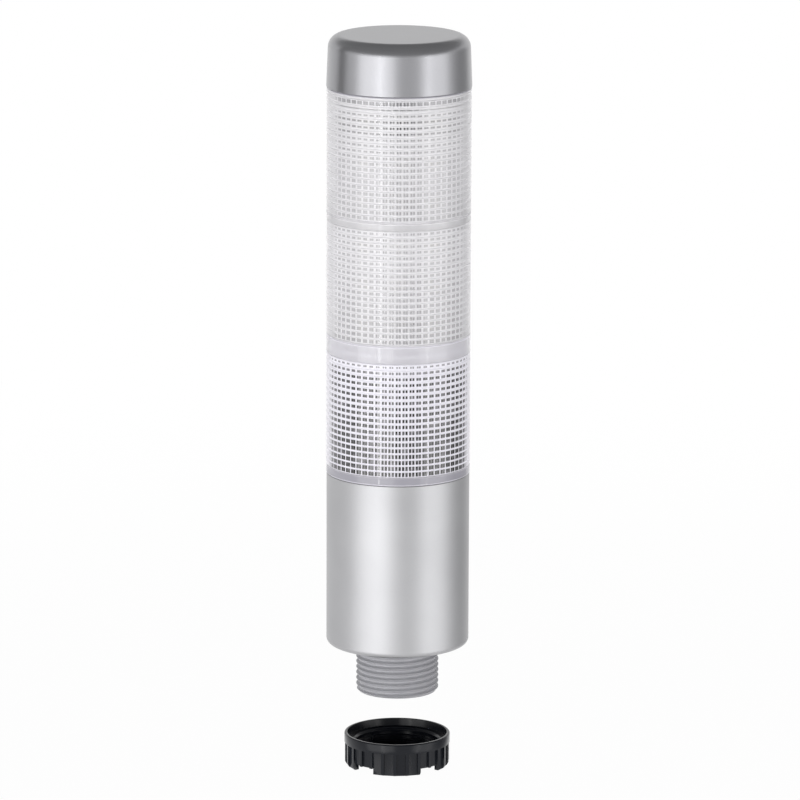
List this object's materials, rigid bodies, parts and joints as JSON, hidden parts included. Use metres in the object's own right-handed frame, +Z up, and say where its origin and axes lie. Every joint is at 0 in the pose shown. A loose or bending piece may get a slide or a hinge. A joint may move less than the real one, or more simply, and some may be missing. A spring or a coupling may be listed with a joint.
{
  "type": "stack light",
  "caption": "Slim tubular stack light with clear prismatic tiers, a silver base and cap, a hollow threaded stem for one panel hole, and its castellated nut.",
  "frame": {"origin": "middle of the base's underside, the face that sits on the panel, on the stem's axis", "axes": "+Z up along the light, -Z down through the panel, +Y into the picture; the LED board's faces look along -Y and +Y"},
  "size_m": [0.0384, 0.0384, 0.1979],
  "materials": {
    "silver_paint": "satin metallic paint on moulded plastic",
    "clear_lens": "clear moulded polycarbonate with rings and prisms",
    "white_plastic": "white reflector plastic",
    "stem_grey": "unpainted glass-filled plastic",
    "nut_black": "fine-grained black plastic",
    "seal_silicone": "soft translucent silicone",
    "panel_rubber": "soft black rubber",
    "board_white": "white solder mask",
    "board_green": "green solder mask",
    "led_body": "LED packages",
    "chip_black": "moulded component cases",
    "capacitor_can": "drawn can",
    "terminal_grey": "moulded terminal housing",
    "plated_metal": "zinc plated"
  },
  "bodies": {
    "light": {"cap": "silver_paint", "cap_seal": "seal_silicone", "top_reflector": "white_plastic", "upper_lens": "clear_lens", "upper_lens_seal": "seal_silicone", "upper_divider": "white_plastic", "middle_lens": "clear_lens", "middle_lens_seal": "seal_silicone", "lower_divider": "white_plastic", "lower_lens": "clear_lens", "lower_lens_seal": "seal_silicone", "board_carrier": "white_plastic", "carrier_screws": "plated_metal", "led_board": "board_white", "upper_leds": "led_body", "middle_leds": "led_body", "lower_leds": "led_body", "led_resistors": "chip_black", "base_housing": "silver_paint", "driver_board": "board_green", "board_socket": "chip_black", "driver_capacitor": "capacitor_can", "driver_rectifier": "chip_black", "driver_resistors": "chip_black", "terminal_block": "terminal_grey", "terminal_clamps": "plated_metal", "terminal_screws": "plated_metal", "threaded_stem": "stem_grey", "stem_screws": "plated_metal", "panel_seal": "panel_rubber"},
    "nut": {"mounting_nut": "nut_black"}
  },
  "joints": [
    {"name": "nut_travel", "type": "slide", "parent": "light", "child": "nut", "axis": [0, 0, 1], "range_m": [0, 0.0225]}
  ]
}
